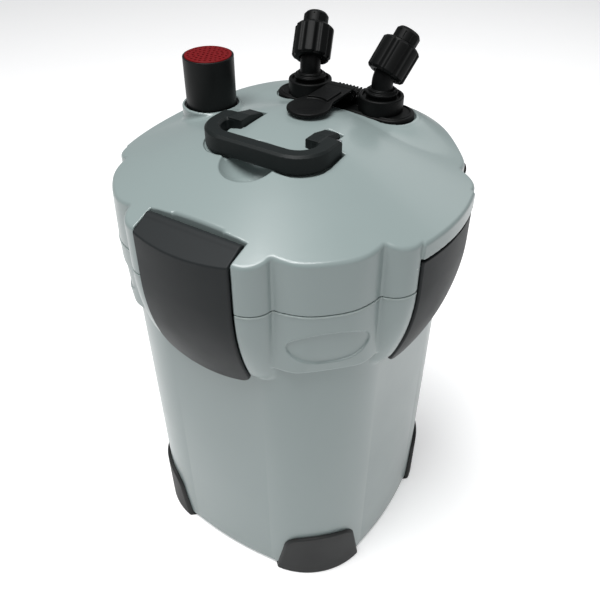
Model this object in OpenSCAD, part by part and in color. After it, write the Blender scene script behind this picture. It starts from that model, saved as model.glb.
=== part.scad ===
// Canister filter: a bucket with media baskets, closed by a domed pump head.
// Origin: centre of the footprint on the ground. +Z up, -Y front, +Y valve side.

/* [Bucket] */
// Half side of the bucket at the ground
bucket_half = 108; // [106:0.5:109]
// Half side of the bucket at the seam
seam_half = 112.4; // [112:0.1:113]
// Distance of the corner arc centres from the middle planes
corner_at = 45.5; // [44:0.5:47]
// Height of the seam between bucket and head
seam_z = 322; // [320:1:324]
// Wall thickness of the bucket
bucket_wall = 3.2; // [2.8:0.1:3.4]

/* [Head] */
// Height of the flat middle of the dome
dome_z = 398; // [396:0.5:400]
// Radius of the flat middle of the dome
dome_flat_r = 38; // [30:1:40]
// Fall of the dome per millimetre of radius
dome_slope = 0.35; // [0.34:0.01:0.37]
// Height of the raised rear deck under the valve block
deck_z = 384.5; // [383:0.5:385]
// Thickness of the head cover
cover_wall = 3.2; // [2.8:0.1:3.4]

/* [Clips] */
// Half width of a clip plate
clip_half = 40.7; // [40:0.1:41]
// Radius of the barrel shape of a clip plate
clip_r = 166; // [165:0.5:167]
// Thickness of a clip plate
clip_t = 3; // [2.4:0.1:3.2]
// Radius of a clip hinge pin
clip_pin_r = 1.2; // [1:0.1:1.3]

/* [Handle and primer] */
// Half width of the carry handle
handle_half = 52; // [50:0.5:54]
// Height of the top of the handle
handle_z = 402; // [401:0.5:403]
// Radius of the primer plunger
primer_r = 20.7; // [20:0.1:21]
// Height of the top of the primer plunger
primer_z = 423.5; // [422:0.5:426]

/* [Valves] */
// Distance of each valve from the middle plane
valve_x = 33.5; // [33:0.5:35]
// Distance of the valves behind the centre
valve_y = 80; // [79:0.5:81]
// Height of the bend of the hose elbows
bend_z = 413; // [412:0.5:415]
// Lean of the hose outlets from the vertical
outlet_tilt = 40; // [35:1:42]
// Direction of the left outlet seen from above
left_az = 111; // [105:1:120]
// Direction of the right outlet seen from above
right_az = 70; // [60:1:75]

/* [Hidden] */
$fn = 96;
eps = 0.01;

// Colours
shell_grey = [0.62, 0.68, 0.67];
dark_grey = [0.2, 0.21, 0.22];
near_black = [0.07, 0.07, 0.075];
cap_red = [0.6, 0.08, 0.09];
sponge_blue = [0.2, 0.35, 0.55];
wool_white = [0.9, 0.9, 0.87];
ring_cream = [0.8, 0.74, 0.62];
metal_grey = [0.7, 0.7, 0.72];

// Clearances
fit_gap = 0.4;
slot_gap = 0.8;

// Bucket and collar
ground_gap = 2;
floor_z = 6;
top_half_inner = seam_half - bucket_wall;
pillar_r = 19.5;
pillar_at = [41.5, 113.5];
tongue_foot = [102.6, 262.3];
tongue_lean = 10.4;
panel_r = 57.1;
panel_at = 81.5;
panel_mid_r = panel_at + panel_r;
panel_foot_r = 330;
panel_lip_z = 268;
barrel_y = clip_r - 140;
barrel_z = seam_z;
slot_half = clip_half + slot_gap;
ledge_z = 261;
ledge_out = 113.9;
dish_z = 290;
dish_half = [30, 14];
dish_depth = 1.5;

// Head outline and surfaces
head_z = seam_z + fit_gap;
panel_top_r = 136.5;
panel_top_z = 366;
deck_y = 85;
deck_r = 588;
notch_y = 113.4;
band_z = 347.4;

// Clip hinge axes: facet clips at front and back, flush clips at the sides
facet_axis = [118.6, 364];
facet_barrel_r = 4.6;
facet_edge = [115, 370.7];
facet_bend_z = 361.5;
side_axis = [131.5, 342.5];
side_barrel_r = 3.2;
side_relief_r = 9.8;
side_top_z = 346;
tip_z = 239;

// Handle
handle_w = 12;
handle_front = 54;
handle_h = 14;
handle_axis_z = 393;
handle_pin_r = 2;
lug_in = 28;
lug_out = 40;
lug_r = 6.3;
pocket_z = 386;
tub_z = 383;
scoop_r = 24;
scoop_centre_z = 399.5;
scoop_tub_z = 371;

// Primer
primer_at = [-95.6, 24.7];
primer_collar_r = 24.6;
primer_collar_z = 384.6;
primer_bore_r = 22.5;
primer_liner_r = 22.3;
primer_liner_bore = primer_r + 0.5;
primer_floor_z = 327;
primer_skirt_z = 364;
spring_foot_z = 330.5;
spring_top_z = 419;
spring_r = 12;

// Pump
pump_at = [0, -25];
pump_r = 34;
pump_z = 262;
well_r = 14;
shaft_r = 1.5;

// Valve block
seat_z = 383.5;
plate_z = 388;
plate_half = [62, 18.5];
collar_r = 18;
collar_z = 400;
socket_r = 12.5;
valve_tube_r = 12;
valve_tube_z = 346;
valve_axis_z = 392.5;
ball_r = 7.5;
ball_bore_r = 5.2;
valve_shaft_r = 2;
neck_r = 8.5;
neck_foot_z = 401.3;
bend_ball_r = 9.3;
nut_r = 16;
nut_from = 2.5;
nut_to = 29;
tail_r = 10.2;
tail_end = 40;

// Rounded square with straight sides
module rounded_square(half, at) {
    r = half - at;
    square([2 * half, 2 * at], center = true);
    square([2 * at, 2 * half], center = true);
    for (sx = [-1, 1], sy = [-1, 1]) translate([sx * at, sy * at]) circle(r);
}

// Tapered rounded block that follows the bucket wall, grown outwards by grow
module bucket_form(grow, z0, z1) {
    draft = (seam_half - bucket_half) / seam_z;
    h0 = bucket_half + draft * z0 + grow;
    h1 = bucket_half + draft * z1 + grow;
    for (sx = [-1, 1], sy = [-1, 1])
        translate([sx * corner_at, sy * corner_at, z0])
            cylinder(h = z1 - z0, r1 = h0 - corner_at, r2 = h1 - corner_at);
    for (turn = [0, 90])
        rotate([90, 0, turn + 90])
            linear_extrude(height = 2 * corner_at, center = true)
                polygon([[-h0, z0], [h0, z0], [h1, z1], [-h1, z1]]);
}

// Solid bounded by the barrel shape of the front clip: a ball below, a column above
module clip_barrel(r) {
    barrel_ball(r);
    barrel_column(r);
}

module barrel_ball(r) {
    translate([0, barrel_y, barrel_z]) sphere(r, $fn = 180);
}

module barrel_column(r) {
    translate([0, barrel_y, barrel_z]) cylinder(h = 90, r = r, $fn = 180);
}

// Every side of the object, with the front as the model side
module four_sides() {
    for (turn = [0:90:270]) rotate([0, 0, turn]) children();
}

// Upright pillars beside the clips
module pillars(z0, z1) {
    four_sides()
        for (s = [-1, 1])
            translate([s * pillar_at[0], -pillar_at[1], z0]) cylinder(h = z1 - z0, r = pillar_r);
}

// Below the seam the pillars lean inwards with the clips and end round
module pillar_tongues() {
    over = 4;
    four_sides()
        for (s = [-1, 1])
            translate([s * pillar_at[0], -tongue_foot[0], tongue_foot[1]]) {
                sphere(pillar_r - 0.2);
                rotate([tongue_lean, 0, 0])
                    cylinder(h = (seam_z - tongue_foot[1]) / cos(tongue_lean) + over, r = pillar_r);
            }
}

module clip_channels(z0, z1, depth_at) {
    four_sides()
        translate([-slot_half, -150, z0])
            cube([2 * slot_half, 150 - depth_at, z1 - z0]);
}

module canister_bucket() {
    color(shell_grey)
    difference() {
        union() {
            bucket_form(0, ground_gap, seam_z + 1);
            difference() {
                pillar_tongues();
                clip_channels(220, seam_z + 2, seam_half - 2.5);
            }
            four_sides() rotate([0, 0, 45]) corner_panel();
            catch_ledges();
        }
        bucket_form(-bucket_wall, floor_z, seam_z + 2);
        // One level cut across everything at the seam
        translate([-150, -150, seam_z]) cube([300, 300, 10]);
    }
}

// Lower half of one corner panel, on the front after its turn
module corner_panel() {
    difference() {
        intersection() {
            translate([0, -panel_at, panel_lip_z])
                cylinder(h = seam_z + 1 - panel_lip_z, r = panel_r);
            translate([0, panel_foot_r - panel_mid_r - 0.1, seam_z]) sphere(panel_foot_r, $fn = 180);
        }
        oval_dish();
    }
}

// Shallow plain oval dish pressed into a corner panel, its floor parallel to the panel
module oval_dish() {
    difference() {
        translate([0, 0, dish_z]) rotate([90, 0, 0]) linear_extrude(height = 160)
            polygon([for (a = [0:9:351]) [dish_half[0] * cos(a), dish_half[1] * sin(a)]]);
        intersection() {
            translate([0, -panel_at, 240]) cylinder(h = 100, r = panel_r - dish_depth);
            translate([0, panel_foot_r - panel_mid_r, seam_z])
                sphere(panel_foot_r - dish_depth, $fn = 180);
        }
    }
}

module catch_ledges() {
    four_sides()
        translate([-16, -ledge_out, ledge_z]) cube([32, 6, 4]);
}

// Foot pad that wraps the front right corner; turn picks the corner
module foot_pad(turn) {
    color(dark_grey)
    rotate([0, 0, turn])
    intersection() {
        difference() {
            bucket_form(3.6, 0, 60);
            bucket_form(0.1, ground_gap - 0.1, 61);
            translate([0, 0, -1]) cylinder(h = 4, r = 104);
        }
        rotate([0, 0, 45])
            rotate([90, 0, 0])
                linear_extrude(height = 160)
                    polygon([[-40, 0], [40, 0], [33, 40], [26, 52], [0, 57], [-26, 52], [-33, 40]]);
    }
}

module foot_pad_front_right() { foot_pad(0); }
module foot_pad_back_right() { foot_pad(90); }
module foot_pad_back_left() { foot_pad(180); }
module foot_pad_front_left() { foot_pad(270); }

// Media baskets
basket_half = 101;
basket_at = 45;
basket_h = 74;
basket_pitch = 76;
basket_z = 10;
pipe_notch_r = 14.5;

module basket_outline(inset) {
    difference() {
        rounded_square(basket_half - inset, basket_at);
        translate([-valve_x, valve_y]) circle(pipe_notch_r + inset);
        translate([-valve_x - pipe_notch_r - inset, valve_y])
            square([2 * (pipe_notch_r + inset), 40]);
    }
}

module media_basket(level) {
    color(dark_grey)
    translate([0, 0, basket_z + level * basket_pitch])
    difference() {
        linear_extrude(height = basket_h) basket_outline(0);
        translate([0, 0, 2.5]) linear_extrude(height = basket_h) basket_outline(2.2);
        for (i = [-6:6], s = [-1, 1])
            translate([i * 12 - 3, s * 40 - 26, -1]) cube([6, 52, 5]);
        for (turn = [0, 90], i = [-3:3])
            rotate([0, 0, turn]) translate([i * 12 - 3, -120, 30]) cube([6, 60, 24]);
    }
}

module media_basket_lower() { media_basket(0); }
module media_basket_middle() { media_basket(1); }
module media_basket_upper() { media_basket(2); }

module media_block(level, height) {
    translate([0, 0, basket_z + level * basket_pitch + 3])
        linear_extrude(height = height) basket_outline(3.2);
}

module filter_rings_block() { color(ring_cream) media_block(0, 62); }
module filter_wool_block() { color(wool_white) media_block(1, 64); }
module filter_sponge_block() { color(sponge_blue) media_block(2, 60); }

module intake_down_pipe() {
    color(dark_grey)
    translate([-valve_x, valve_y, 12])
        difference() {
            cylinder(h = 292, r = 11);
            translate([0, 0, -1]) cylinder(h = 300, r = 9);
            for (turn = [0:60:300])
                rotate([0, 0, turn]) translate([0, -2, -1]) cube([20, 4, 16]);
        }
}

// Head surfaces: a cone with a flat middle, and a wide rear deck
module dome_top(drop) {
    rim_r = 200;
    fall = dome_slope * (rim_r - dome_flat_r);
    rotate_extrude($fn = 180)
        polygon([[0, 300], [rim_r, 300], [rim_r, dome_z - drop - fall],
                 [dome_flat_r, dome_z - drop], [0, dome_z - drop]]);
    intersection() {
        translate([0, deck_y, deck_z - drop - deck_r]) sphere(deck_r, $fn = 360);
        translate([-160, -160, 300]) cube([320, 320, 90]);
    }
}

// Everything inside the head's outer walls, moved in by inset
module head_walls(inset) {
    z0 = head_z - 2 * inset;
    h = 90;
    translate([0, 0, z0]) linear_extrude(height = h)
        rounded_square(seam_half - inset, corner_at);
    intersection() {
        four_sides() rotate([0, 0, 45])
            translate([0, -panel_at, z0]) cylinder(h = h, r = panel_r - inset);
        lean = (panel_mid_r - panel_top_r) / (panel_top_z - seam_z);
        translate([0, 0, seam_z - 10])
            cylinder(h = 100, r1 = panel_mid_r - inset + 10 * lean,
                     r2 = panel_mid_r - inset - 90 * lean, $fn = 180);
    }
}

// Thick upright cheeks that carry the clip pins, and the bands over the side clips
module head_blocks() {
    pillars(head_z, 400);
    for (turn = [90, 270])
        rotate([0, 0, turn])
            intersection() {
                translate([-pillar_at[0], -150, band_z - 30]) cube([2 * pillar_at[0], 60, 90]);
                barrel_column(clip_r + 0.5);
            }
}

module head_cover() {
    color(shell_grey)
    difference() {
        union() {
            intersection() {
                difference() {
                    union() {
                        difference() {
                            union() { head_walls(0); head_blocks(); }
                            head_hollow();
                        }
                        head_inner_bosses();
                    }
                    clip_slots();
                }
                dome_top(0);
            }
            valve_seat_boss();
            primer_collar();
        }
        head_cuts();
    }
}

module head_hollow() {
    intersection() {
        union() {
            head_walls(cover_wall);
            for (turn = [90, 270])
                rotate([0, 0, turn])
                    intersection() {
                        translate([-38, -150, 354]) cube([76, 60, 60]);
                        barrel_column(clip_r - cover_wall);
                    }
        }
        dome_top(cover_wall + 0.3);
    }
}

module head_inner_bosses() {
    translate([-handle_half - 5, -handle_front - 5, tub_z])
        cube([2 * handle_half + 10, handle_front + 20, 30]);
    translate([0, -handle_front - 2, scoop_tub_z]) cylinder(h = 30, r = scoop_r + 1);
    translate([primer_at[0], primer_at[1], primer_floor_z - 1])
        cylinder(h = 60, r = primer_collar_r);
}

// Room for the clip plates and their swing
module clip_slots() {
    for (turn = [0, 180])
        rotate([0, 0, turn])
            translate([-slot_half, -150, 300]) cube([2 * slot_half, 150 - notch_y, 100]);
    for (turn = [90, 270])
        rotate([0, 0, turn]) {
            difference() {
                translate([-slot_half, -150, 300])
                    cube([2 * slot_half, 150 - seam_half, band_z - 300]);
                side_slot_keep(turn);
            }
            translate([0, -side_axis[0], side_axis[1]]) rotate([0, 90, 0])
                cylinder(h = 2 * slot_half, r = side_relief_r, center = true);
        }
}

// The primer tube bulges into the left slot and stays
module side_slot_keep(turn) {
    rotate([0, 0, -turn])
        translate([primer_at[0], primer_at[1], 300]) cylinder(h = 100, r = primer_collar_r);
}

module stadium(half, width) {
    square([2 * (half - width), 2 * width], center = true);
    for (s = [-1, 1]) translate([s * (half - width), 0]) circle(width);
}

module valve_seat_boss() {
    difference() {
        translate([0, valve_y, 372]) linear_extrude(height = deck_z - 372)
            stadium(plate_half[0] + 3.5, plate_half[1] + 3.5);
        dome_top(cover_wall + 0.3);
    }
}

module primer_collar() {
    translate([primer_at[0], primer_at[1], 368])
        cylinder(h = primer_collar_z - 368, r = primer_collar_r);
}

module head_cuts() {
    // Valve seat pocket and sockets
    translate([0, valve_y, seat_z]) linear_extrude(height = 20)
        stadium(plate_half[0] + 1, plate_half[1] + 1);
    for (s = [-1, 1])
        translate([s * valve_x, valve_y, 340]) cylinder(h = 60, r = 16);
    // Primer bore
    translate([primer_at[0], primer_at[1], primer_floor_z - 2])
        cylinder(h = 80, r = primer_bore_r);
    // Handle recess, pivot pockets and finger scoop
    translate([0, 0, pocket_z]) linear_extrude(height = 30) handle_recess_outline();
    translate([0, -handle_front - 2, scoop_centre_z]) sphere(scoop_r);
    translate([0, 0, handle_axis_z]) rotate([0, 90, 0])
        cylinder(h = 2 * (lug_out + 5), r = handle_pin_r + 0.02, center = true);
    // Pin holes in the cheeks
    four_clip_axes() cylinder(h = 2 * (slot_half + 4.5), r = clip_pin_r + 0.02, center = true);
    // Cord gland hole through the rear right corner
    rotate([0, 0, -45]) translate([0, 120, 345]) rotate([-90, 0, 0]) cylinder(h = 30, r = 5.1);
}

// Places a child cylinder, drawn along Z, on each clip's hinge axis
module four_clip_axes() {
    for (turn = [0, 180])
        rotate([0, 0, turn]) translate([0, -facet_axis[0], facet_axis[1]])
            rotate([0, 90, 0]) children();
    for (turn = [90, 270])
        rotate([0, 0, turn]) translate([0, -side_axis[0], side_axis[1]])
            rotate([0, 90, 0]) children();
}

module handle_outline(grow, back) {
    difference() {
        handle_ring(handle_half + grow, handle_front + grow, 26 + grow, back + grow);
        handle_ring(handle_half - handle_w - grow, handle_front - handle_w - grow,
                    26 - handle_w - grow, 60);
        translate([-lug_in + grow, -20]) square([2 * (lug_in - grow), 60]);
    }
}

module handle_ring(half, front, r, back) {
    translate([-half, -front + r]) square([2 * half, front - r + back]);
    translate([-half + r, -front]) square([2 * (half - r), front]);
    for (s = [-1, 1]) translate([s * (half - r), -front + r]) circle(r);
}

module handle_recess_outline() {
    difference() {
        handle_ring(handle_half + 1.5, handle_front + 1.5, 27.5, -10);
        handle_ring(handle_half - handle_w - 1.5, handle_front - handle_w - 1.5, 12.5, 60);
    }
    for (s = [-1, 1])
        translate([s * (lug_in + lug_out) / 2, 0])
            translate([-(lug_out - lug_in) / 2 - 0.6, -24.6])
                square([lug_out - lug_in + 1.2, 34.1]);
    for (s = [-1, 1])
        translate([s * 46.5 - 7, -24]) square([14, 14]);
}

module head_base() {
    color(dark_grey)
    difference() {
        union() {
            translate([0, 0, 306]) linear_extrude(height = 20) rounded_square(107, corner_at);
            translate([pump_at[0], pump_at[1], pump_z]) cylinder(h = 46, r = pump_r);
            for (s = [-1, 1])
                translate([s * valve_x, valve_y, 306]) cylinder(h = 70, r = 15.5);
        }
        // Groove for the seal
        translate([0, 0, 310]) linear_extrude(height = 5)
            difference() {
                rounded_square(120, corner_at);
                rounded_square(104.5, corner_at);
            }
        // Light underside and open top
        translate([0, 0, 318])
            linear_extrude(height = 20)
                difference() {
                    rounded_square(103, corner_at);
                    for (s = [-1, 1]) translate([s * valve_x, valve_y]) circle(15.5);
                    translate([primer_at[0], primer_at[1]]) circle(20);
                }
        for (s = [-1, 1])
            translate([s * valve_x, valve_y, 330]) cylinder(h = 60, r = socket_r);
        for (s = [-1, 1])
            translate([s * valve_x, valve_y, 300]) cylinder(h = 60, r = 11.3);
        translate([pump_at[0], pump_at[1], 0]) {
            translate([0, 0, 278]) difference() {
                cylinder(h = 60, r = 31);
                translate([0, 0, -1]) cylinder(h = 30, r = well_r + 2);
            }
            translate([0, 0, pump_z - 1]) cylinder(h = 42, r = well_r);
            translate([0, 0, pump_z - 1]) cylinder(h = 9, r = 20);
        }
        head_screw_spots() translate([0, 0, 300]) cylinder(h = 30, r = 2.2);
    }
}

module head_screw_spots() {
    for (turn = [45:90:315])
        rotate([0, 0, turn]) translate([0, -118, 0]) children();
}

module head_screws() {
    color(metal_grey)
    head_screw_spots() {
        translate([0, 0, 302.9]) cylinder(h = 3, r = 4);
        translate([0, 0, 304]) cylinder(h = 20, r = 2);
    }
}

module seal_ring() {
    color(near_black)
    translate([0, 0, 310.5]) linear_extrude(height = 4)
        difference() {
            rounded_square(108.4, corner_at);
            rounded_square(104.7, corner_at);
        }
}

module motor_stator() {
    color(near_black)
    translate([pump_at[0], pump_at[1], 278.3])
        difference() {
            cylinder(h = 34, r = 30.7);
            translate([0, 0, -1]) cylinder(h = 31, r = well_r + 2.3);
        }
}

module rotor_shaft() {
    color(metal_grey)
    translate([pump_at[0], pump_at[1], 256]) cylinder(h = 44, r = shaft_r);
}

module shaft_bushes() {
    color(near_black)
    translate([pump_at[0], pump_at[1], 0])
        for (z = [256, 296.5])
            translate([0, 0, z]) difference() {
                cylinder(h = 3.5, r = 4);
                translate([0, 0, -1]) cylinder(h = 6, r = shaft_r + 0.02);
            }
}

module impeller_cover() {
    color(dark_grey)
    translate([pump_at[0], pump_at[1], 246])
        difference() {
            cylinder(h = 15.9, r = 32);
            translate([0, 0, 4]) cylinder(h = 20, r = 22);
            difference() {
                translate([0, 0, -1]) cylinder(h = 10, r = 11);
                translate([-12, -1.5, -2]) cube([24, 3, 20]);
                translate([-1.5, -12, -2]) cube([3, 24, 20]);
                translate([0, 0, -2]) cylinder(h = 20, r = 4.3);
            }
            translate([0, 0, 9.9]) cylinder(h = 10, r = 4.2);
            translate([10, -8, 6]) cube([30, 16, 7]);
        }
    color(dark_grey)
    translate([pump_at[0], pump_at[1], 249])
        difference() {
            cylinder(h = 7, r = 4.1);
            translate([0, 0, 6.9]) cylinder(h = 1, r = shaft_r + 0.1);
        }
}

module rotor_magnet() {
    color(near_black)
    translate([pump_at[0], pump_at[1], 270])
        difference() {
            cylinder(h = 26, r = well_r - 0.8);
            translate([0, 0, -1]) cylinder(h = 30, r = shaft_r + 0.05);
        }
}

module impeller_wheel() {
    color(cap_red)
    translate([pump_at[0], pump_at[1], 260])
        difference() {
            union() {
                cylinder(h = 9.9, r = 5);
                translate([0, 0, 8]) cylinder(h = 1.9, r = 17);
                for (turn = [0:60:300])
                    rotate([0, 0, turn]) translate([0, -0.8, 0]) cube([17, 1.6, 9]);
            }
            translate([0, 0, -1]) cylinder(h = 30, r = shaft_r + 0.05);
        }
}

module primer_cylinder() {
    color(near_black)
    translate([primer_at[0], primer_at[1], primer_floor_z])
        difference() {
            cylinder(h = primer_collar_z - 2 - primer_floor_z, r = primer_liner_r);
            translate([0, 0, 3]) cylinder(h = 80, r = primer_liner_bore);
        }
}

module primer_plunger() {
    color(near_black)
    translate([primer_at[0], primer_at[1], primer_skirt_z])
        difference() {
            cylinder(h = primer_z - primer_skirt_z, r = primer_r);
            translate([0, 0, -1]) cylinder(h = primer_z - primer_skirt_z - 3, r = primer_r - 2.5);
            translate([0, 0, primer_z - primer_skirt_z - 1.5]) cylinder(h = 3, r = primer_r - 1.4);
        }
}

module primer_cap() {
    color(cap_red)
    translate([primer_at[0], primer_at[1], primer_z - 1.4])
        difference() {
            cylinder(h = 2.2, r = primer_r - 1.5);
            for (ring = [1:3])
                for (k = [0:6 * ring - 1])
                    rotate([0, 0, k * 60 / ring]) translate([ring * 5, 0, 1.4])
                        cylinder(h = 3, r = 0.9, $fn = 16);
            translate([0, 0, 1.4]) cylinder(h = 3, r = 0.9, $fn = 16);
        }
}

// Spring drawn as its closed sleeve
module primer_spring() {
    color(metal_grey)
    translate([primer_at[0], primer_at[1], spring_foot_z])
        difference() {
            cylinder(h = spring_top_z - spring_foot_z, r = spring_r);
            translate([0, 0, -1]) cylinder(h = 100, r = spring_r - 1.6);
        }
}

module carry_handle() {
    color(dark_grey)
    difference() {
        union() {
            translate([0, 0, handle_z - handle_h]) linear_extrude(height = handle_h)
                difference() {
                    handle_outline(0, -11.5);
                    translate([-100, -12]) square([200, 60]);
                }
            for (s = [-1, 1])
                translate([s * (lug_in + lug_out) / 2, 0, 0]) {
                    rotate([90, 0, 90]) linear_extrude(height = lug_out - lug_in, center = true)
                        polygon([[-24, 388], [0, handle_axis_z - lug_r], [0, handle_axis_z + lug_r],
                                 [-5, 400.5], [-12, handle_z], [-24, handle_z]]);
                    translate([0, 0, handle_axis_z]) rotate([0, 90, 0])
                        cylinder(h = lug_out - lug_in, r = lug_r, center = true);
                }
            for (s = [-1, 1])
                translate([s * 40 - 6, -24, 388]) cube([12, 12, handle_z - 388]);
        }
        translate([0, 0, handle_axis_z]) rotate([0, 90, 0])
            cylinder(h = 120, r = handle_pin_r + 0.05, center = true);
    }
}

module handle_pins() {
    color(metal_grey)
    for (s = [-1, 1])
        translate([s * (lug_in + lug_out) / 2, 0, handle_axis_z]) rotate([0, 90, 0])
            cylinder(h = 20, r = handle_pin_r, center = true);
}

module clip_pins() {
    color(metal_grey)
    four_clip_axes() cylinder(h = 2 * (slot_half + 4), r = clip_pin_r, center = true);
}

module cord_gland() {
    color(near_black)
    rotate([0, 0, -45]) translate([0, 0, 345]) rotate([-90, 0, 0])
        difference() {
            union() {
                translate([0, 0, 131]) cylinder(h = 14, r = 5);
                translate([0, 0, 139.2]) cylinder(h = 4, r = 8);
                translate([0, 0, 129]) cylinder(h = 3, r = 6.5);
            }
            translate([0, 0, 123]) cylinder(h = 30, r = 2.8);
        }
}

// Valve block
module valve_plate() {
    color(near_black)
    difference() {
        union() {
            translate([0, valve_y, seat_z]) linear_extrude(height = plate_z - seat_z)
                stadium(plate_half[0], plate_half[1]);
            for (i = [-4:4])
                translate([i * 3.4 - 0.7, valve_y + 7.5, plate_z - 1]) cube([1.4, 9, 8]);
            // Ears that carry the shaft
            for (s = [-1, 1])
                translate([s * 14.2 - 1.1, valve_y - 4, plate_z - 1])
                    cube([2.2, 8, valve_axis_z - plate_z + 5]);
        }
        for (s = [-1, 1])
            translate([s * valve_x, valve_y, seat_z - 1]) cylinder(h = 10, r = valve_tube_r + 0.1);
        translate([0, valve_y, valve_axis_z]) rotate([0, 90, 0])
            cylinder(h = 60, r = valve_shaft_r + 0.05, center = true);
        translate([-12.8, valve_y - 6.5, plate_z - 1.4]) cube([25.6, 13.5, 10]);
    }
}

module valve_body(side) {
    color(near_black)
    translate([side * valve_x, valve_y, 0])
        difference() {
            translate([0, 0, valve_tube_z])
                cylinder(h = collar_z + 0.8 - valve_tube_z, r = valve_tube_r);
            translate([0, 0, valve_tube_z - 1]) cylinder(h = 80, r = ball_bore_r);
            translate([0, 0, valve_tube_z - 1]) cylinder(h = 32, r = 9);
            translate([0, 0, valve_axis_z]) sphere(ball_r + fit_gap);
            translate([-side * 10, 0, valve_axis_z]) rotate([0, 90, 0])
                cylinder(h = 24, r = valve_shaft_r + 0.05, center = true);
            translate([0, 0, 350]) rotate_extrude() translate([valve_tube_r, 0])
                square([3, 2.4], center = true);
        }
}

module valve_body_left() { valve_body(-1); }
module valve_body_right() { valve_body(1); }

module lock_collar(side) {
    color(near_black)
    translate([side * valve_x, valve_y, plate_z + 0.1])
        difference() {
            cylinder(h = collar_z - plate_z, r = collar_r);
            translate([0, 0, -1]) cylinder(h = 30, r = valve_tube_r + 0.1);
            translate([0, 0, collar_z - plate_z - 2.5]) cylinder(h = 5, r = collar_r - 3);
            translate([-side * 16, 0, valve_axis_z - plate_z]) rotate([0, 90, 0])
                cylinder(h = 14, r = valve_shaft_r + 0.4, center = true);
        }
}

module lock_collar_left() { lock_collar(-1); }
module lock_collar_right() { lock_collar(1); }

module valve_seals() {
    color(near_black)
    for (s = [-1, 1])
        translate([s * valve_x, valve_y, 350]) rotate_extrude()
            translate([valve_tube_r - 1.4, -1]) square([1.55, 2]);
}

// Lever paddle, its stem and hub
lever_disc_y = 25;
lever_z = 399.6;
module valve_lever() {
    color(near_black)
    difference() {
        union() {
            translate([0, lever_disc_y, lever_z]) cylinder(h = 2.8, r = 17);
            translate([-12, lever_disc_y, lever_z]) cube([24, valve_y - lever_disc_y - 4, 2.8]);
            translate([0, valve_y, valve_axis_z]) rotate([0, 90, 0])
                cylinder(h = 24, r = 5, center = true);
            translate([-12, valve_y - 9, valve_axis_z]) cube([24, 7, lever_z + 2.8 - valve_axis_z]);
            translate([-9, lever_disc_y - 4, lever_z + 2]) cube([18, 36, 2]);
        }
        translate([0, valve_y, valve_axis_z]) rotate([0, 90, 0])
            cylinder(h = 40, r = valve_shaft_r + 0.02, center = true);
    }
}

module valve_shaft() {
    color(metal_grey)
    translate([0, valve_y, valve_axis_z]) rotate([0, 90, 0])
        cylinder(h = 2 * (valve_x - 5.4), r = valve_shaft_r, center = true);
}

module valve_ball(side) {
    color(wool_white)
    translate([side * valve_x, valve_y, valve_axis_z])
        difference() {
            sphere(ball_r);
            cylinder(h = 30, r = ball_bore_r, center = true);
            translate([-side * 10, 0, 0]) rotate([0, 90, 0])
                cylinder(h = 12, r = valve_shaft_r + 0.02, center = true);
        }
}

module valve_ball_left() { valve_ball(-1); }
module valve_ball_right() { valve_ball(1); }

// Frame of an outlet: Z runs along the outlet from the bend
module outlet_frame(side, az) {
    translate([side * valve_x, valve_y, bend_z])
        rotate([0, 0, az]) rotate([0, outlet_tilt, 0]) children();
}

// Round bar that follows an elbow: upright, a slightly larger ball at the bend, then the outlet
module elbow_run(side, az, r, ball, foot_z, reach) {
    union() {
        translate([side * valve_x, valve_y, foot_z]) cylinder(h = bend_z - foot_z, r = r);
        outlet_frame(side, az) sphere(ball);
    }
    outlet_frame(side, az) cylinder(h = reach, r = r);
}

module elbow(side, az) {
    color(near_black)
    difference() {
        union() {
            elbow_run(side, az, neck_r, bend_ball_r, neck_foot_z, 20);
            translate([side * valve_x, valve_y, neck_foot_z]) cylinder(h = 2.2, r = 13);
        }
        elbow_run(side, az, 6, 6.6, neck_foot_z - 1, 30);
    }
}

module elbow_left() { elbow(-1, left_az); }
module elbow_right() { elbow(1, right_az); }

module hose_tail(side, az) {
    color(near_black)
    outlet_frame(side, az)
        difference() {
            union() {
                translate([0, 0, 20.1]) cylinder(h = 4, r = 12);
                translate([0, 0, 24]) cylinder(h = 6, r = 9);
                translate([0, 0, nut_to + fit_gap]) cylinder(h = 8, r = tail_r);
                translate([0, 0, nut_to + fit_gap + 8 - eps])
                    cylinder(h = tail_end - nut_to - fit_gap - 8, r1 = tail_r, r2 = tail_r - 2.2);
            }
            translate([0, 0, 15]) cylinder(h = 30, r = 6);
        }
}

module hose_tail_left() { hose_tail(-1, left_az); }
module hose_tail_right() { hose_tail(1, right_az); }

module hose_nut(side, az) {
    flutes = 8;
    color(near_black)
    outlet_frame(side, az)
        difference() {
            union() {
                translate([0, 0, nut_from]) cylinder(h = nut_to - nut_from, r = nut_r - 1.6);
                for (k = [0:flutes - 1])
                    rotate([0, 0, k * 360 / flutes])
                        translate([nut_r - 4.6, 0, nut_from + 2])
                            cylinder(h = nut_to - nut_from - 4, r = 4.6);
            }
            translate([0, 0, -5]) cylinder(h = 50, r = 9.4);
            translate([0, 0, 8]) cylinder(h = 17, r = 12.5);
        }
}

module hose_nut_left() { hose_nut(-1, left_az); }
module hose_nut_right() { hose_nut(1, right_az); }

// Clips, drawn at the front and turned to their side
module clip_front_view() {
    rotate([90, 0, 0]) linear_extrude(height = 200)
        polygon([[-clip_half, 400], [-clip_half, 254], [-36, 245], [-26, 241.5], [-13, tip_z + 0.5],
                 [0, tip_z], [13, tip_z + 0.5], [26, 241.5], [36, 245], [clip_half, 254],
                 [clip_half, 400]]);
}

module clip_skin(top_z) {
    intersection() {
        clip_front_view();
        difference() {
            clip_barrel(clip_r);
            clip_barrel(clip_r - clip_t);
        }
        translate([-100, -150, 200]) cube([200, 150, top_z - 200]);
    }
}

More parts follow.
